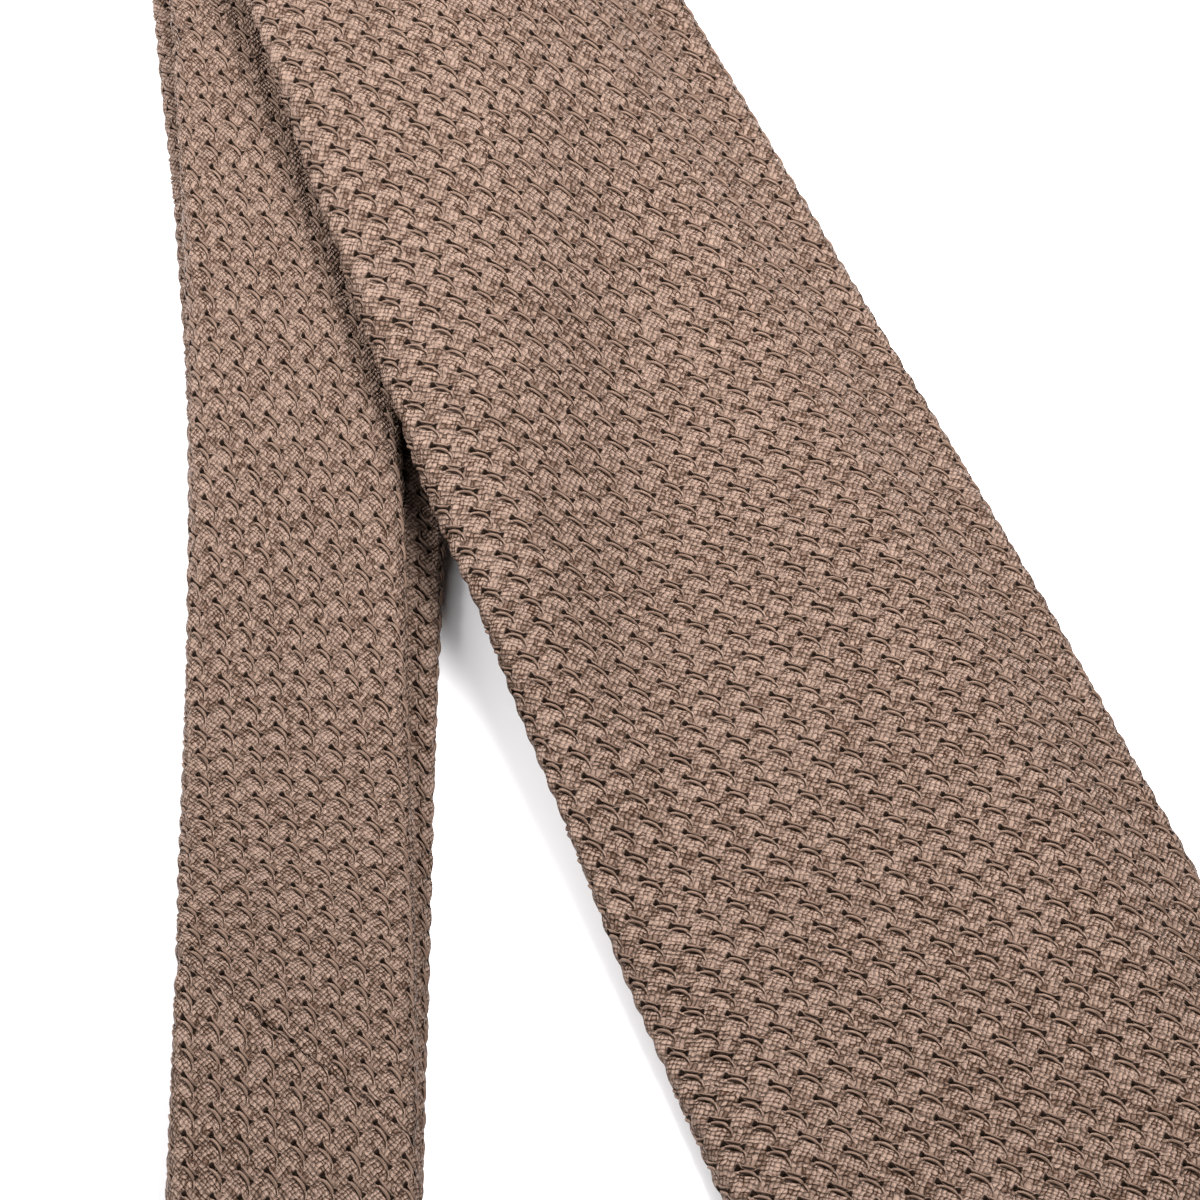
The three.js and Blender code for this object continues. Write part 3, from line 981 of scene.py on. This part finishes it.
FILAMENT_SCALE = (9.0, 1.6, 1.0)  # round a float, along it
FILAMENT_TONES = (0.3, 0.7)
FILAMENT_ROUGH, FLOAT_ROUGH, FILAMENT_RELIEF = 0.25, 0.42, 0.08


def thread_material():
    """Silk floats, with fine filaments along them."""
    material, tree, bsdf = new_material("brown_floats")
    mapping = tree.nodes.new("ShaderNodeMapping")
    mapping.inputs["Scale"].default_value = FILAMENT_SCALE
    tree.links.new(woven_place(tree), mapping.inputs["Vector"])
    filaments = Val(tree, noise(tree, mapping.outputs["Vector"], scale=1.0, detail=2.0)["Fac"])
    colour = mix(tree, filaments.ramp(*FILAMENT_TONES), FLOAT_DEEP, FLOAT_LIGHT)
    tree.links.new(colour, bsdf.inputs["Base Color"])
    rough = filaments * FILAMENT_ROUGH + FLOAT_ROUGH
    tree.links.new(rough.socket, bsdf.inputs["Roughness"])
    bsdf.inputs["Specular IOR Level"].default_value = FLOAT_GLOSS
    bsdf.inputs["Specular Tint"].default_value = FLOAT_GLOSS_TINT
    bump_from(tree, bsdf, filaments * FILAMENT_RELIEF)
    return material


GRENADINE = cloth_material()
FLOATS = thread_material()

# The pieces


def cells(leg, rows):
    """A lattice's rows with y turned into s."""
    return [(float(leg.s_of(y)), *rest) for y, *rest in rows]


# y or s, the steps across and along, and the turns of the columns and of the rows
BLADE_CELLS = cells(blade_leg, [
    (-134, 4.15, 4.7, 4.5, 4), (-86, 4.15, 4.55, 4.5, 4), (-70, 4.13, 4.4, 5, 5),
    (-45, 4.17, 4.25, 6, 7), (-18, 4.2, 4.25, 5.5, 5.5), (9, 4.15, 4.15, 6, 6),
    (39, 4.1, 4.6, 5, 5), (70, 4.1, 5.1, 4, 5), (103, 4.1, 5.25, 3, 3), (206, 4.1, 4.9, 3, 3),
]) + [(500, 3.9, 4.6, 3, 3), (700, 3.6, 4.6, 3, -6)] + cells(neck_leg, [(-86, 3.45, 4.7, 2, -9)])
NECK_CELLS = cells(neck_leg, [
    (-86, 3.43, 4.4, 3.5, -8), (-70, 3.4, 4.2, 3.5, -8), (-54, 3.6, 3.85, 5.5, -6),
    (-36, 3.64, 4.0, 5, -2), (-18, 3.43, 4.6, 4.5, 0.5), (0, 3.3, 4.9, 4.5, 1.5),
    (19, 3.3, 5.1, 4.5, 1.5), (39, 3.3, 5.25, 4, 0), (59, 3.33, 5.15, 3, -4),
    (92, 3.36, 5.3, 3, -6), (140, 3.4, 5.2, 3, -6),
])
TAIL_CELLS = [(1000, 3.5, 5.0, 3, -5), (1200, 3.8, 4.7, 3, 3), (1448, 4.0, 4.6, 3, 3)]


def seam_sides(seam):
    """The s of the two cloths' ends at a seam (s, slant)."""
    half_gap = SEAM_GAP * math.hypot(1, seam[1]) / 2
    return seam[0] - half_gap, seam[0] + half_gap


LOWER_SLANT, UPPER_SLANT = LOWER_SEAM[1], UPPER_SEAM[1]
rear_end, neck_start = seam_sides(LOWER_SEAM)
neck_end, tail_start = seam_sides(UPPER_SEAM)
blade_lattice = Lattice(BLADE_CELLS, phase=(0.2, 0.1))
blade = Cloth(
    TIP_WIDTH / 2, floor_leg.start, [blade_leg, outer_fold],
    [(blade_leg.end - FOLD_RUN, 0), (blade_leg.end, outer_fold.slant)], blade_lattice)
rear = Cloth(
    floor_leg.start, rear_end, [floor_leg, bottom_fold, neck_leg],
    [(floor_leg.start, outer_fold.slant), (floor_leg.start + FOLD_RUN, 0),
     (rear_end - SLANT_RUN, 0), (rear_end, LOWER_SLANT)], blade_lattice, [rear_end])
neck = Cloth(
    neck_start, neck_end, [neck_leg], [(neck_start, LOWER_SLANT), (neck_end, UPPER_SLANT)],
    Lattice(NECK_CELLS, phase=(0.45, 0.3)), [neck_start, neck_end])
tail = Cloth(
    tail_start, LENGTH - TIP_WIDTH / 2, [neck_leg, inner_fold, tail_leg],
    [(tail_start, UPPER_SLANT), (neck_leg.end, inner_fold.slant),
     (tail_leg.start, inner_fold.slant), (tail_leg.start + FOLD_RUN, 0)],
    Lattice(TAIL_CELLS, phase=(0.1, 0.6)), [tail_start])

# Where floats are made: on every side that isn't turned down, and not where a leg above hides them
TURNED_DOWN = -0.35  # the lowest z of a cloth's way out where its floats still show
HIDDEN_UNDER_NECK, HIDDEN_UNDER_BLADE = 5, 6  # how far under the leg's edge
BOTTOM_FOLD_SHOWS, TOP_FOLD_SHOWS = 14, 12  # how far from the fold the leg shows all the same


def on_top(points, outward, row, a):
    return outward[:, 2] > TURNED_DOWN


def rear_shows(points, outward, row, a):
    hidden = neck_leg.outside(points[:, 0], points[:, 1]) < -HIDDEN_UNDER_NECK
    hidden &= row < floor_leg.end - BOTTOM_FOLD_SHOWS
    return on_top(points, outward, row, a) & ~hidden


def tail_shows(points, outward, row, a):
    hidden = blade_leg.outside(points[:, 0], points[:, 1]) < -HIDDEN_UNDER_BLADE
    hidden &= row > tail_leg.start + TOP_FOLD_SHOWS
    return on_top(points, outward, row, a) & ~hidden


def piece(name, cloth, node, shows, seed, step, face, back, roll=7):
    """A cloth's skin and its floats. step is the rows' distance, and face, back and roll are how
    many columns the face, each back flap and each rolled edge have."""
    skin = shell(f"{name}_cloth_skin", cloth, step, face, roll, back, GRENADINE)
    floats = threads(f"{name}_floats", cloth, shows, FLOATS, seed)
    for part in (skin, floats):
        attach(part, "root")
        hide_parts(node)
    widths = width_at(np.arange(cloth.start, cloth.end, 1.0))
    flat = (float(2 * widths.max()) * MM, float(cloth.end - cloth.start) * MM)


piece("blade", blade, "blade_cloth", on_top, seed=1, step=0.8, face=98, back=34)
piece("rear", rear, "blade_cloth", rear_shows, seed=2, step=0.75, face=54, back=22)
piece("neck", neck, "neck_cloth", on_top, seed=3, step=0.7, face=50, back=20)
piece("tail", tail, "tail_cloth", tail_shows, seed=4, step=0.8, face=50, back=20)

# The floor, the light and the camera

FLOOR_REACH = 3.0  # metres from the middle
FLOOR_COLOURS = (0.885, 0.870, 0.885), (0.9, 0.89, 0.9)
WHITE = (1.0, 1.0, 1.0, 1.0)
ROOM_LIGHT = 0.17

CAMERA_PLACE = (-5.99 * MM, -559.3 * MM, 550.5 * MM)
CAMERA_TILT = math.radians(43.95)  # up from straight down
CAMERA_LENS = 166.9
CAMERA_SENSOR = 36


def floor():
    r = FLOOR_REACH
    mesh = bpy.data.meshes.new("floor")
    mesh.from_pydata([(-r, -r, 0), (r, -r, 0), (r, r, 0), (-r, r, 0)], [], [(0, 1, 2, 3)])
    obj = bpy.data.objects.new("floor", mesh)
    bpy.context.collection.objects.link(obj)
    material, tree, bsdf = new_material("pale_floor")
    place = tree.nodes.new("ShaderNodeTexCoord").outputs["Object"]
    cloud = Val(tree, noise(tree, place, scale=3.0, detail=2.0)["Fac"])
    tree.links.new(mix(tree, cloud, *FLOOR_COLOURS), bsdf.inputs["Base Color"])
    bsdf.inputs["Roughness"].default_value = 0.6
    bsdf.inputs["Specular IOR Level"].default_value = 0.2
    mesh.materials.append(material)


def softbox(name, place, target, size, power):
    light = bpy.data.lights.new(name, "AREA")
    light.shape, light.size, light.size_y, light.energy = "RECTANGLE", size[0], size[1], power
    obj = bpy.data.objects.new(name, light)
    obj.location = place
    obj.rotation_euler = (Vector(target) - Vector(place)).to_track_quat("-Z", "Y").to_euler()
    bpy.context.collection.objects.link(obj)


def white_room():
    world = bpy.data.worlds.new("studio")
    bpy.context.scene.world = world
    world.use_nodes = True
    background = world.node_tree.nodes["Background"]
    background.inputs["Color"].default_value = WHITE
    background.inputs["Strength"].default_value = ROOM_LIGHT


def camera():
    data = bpy.data.cameras.new("camera")
    data.lens = CAMERA_LENS
    data.sensor_width = CAMERA_SENSOR
    obj = bpy.data.objects.new("camera", data)
    obj.location = CAMERA_PLACE
    obj.rotation_euler = (CAMERA_TILT, 0, 0)
    bpy.context.collection.objects.link(obj)
    bpy.context.scene.camera = obj


floor()
softbox("key", (0.05, 0.055, 0.24), target=(0.01, 0.05, 0), size=(0.42, 0.12), power=2.15)
softbox("fill", (-0.9, 0.6, 1.8), target=(0, 0.03, 0), size=(2.6, 2.2), power=28.0)
softbox("side", (-0.34, 0.14, 0.24), target=(-0.04, 0.02, 0), size=(0.2, 0.2), power=2.5)
white_room()
camera()
bpy.context.scene.view_settings.view_transform = "Standard"
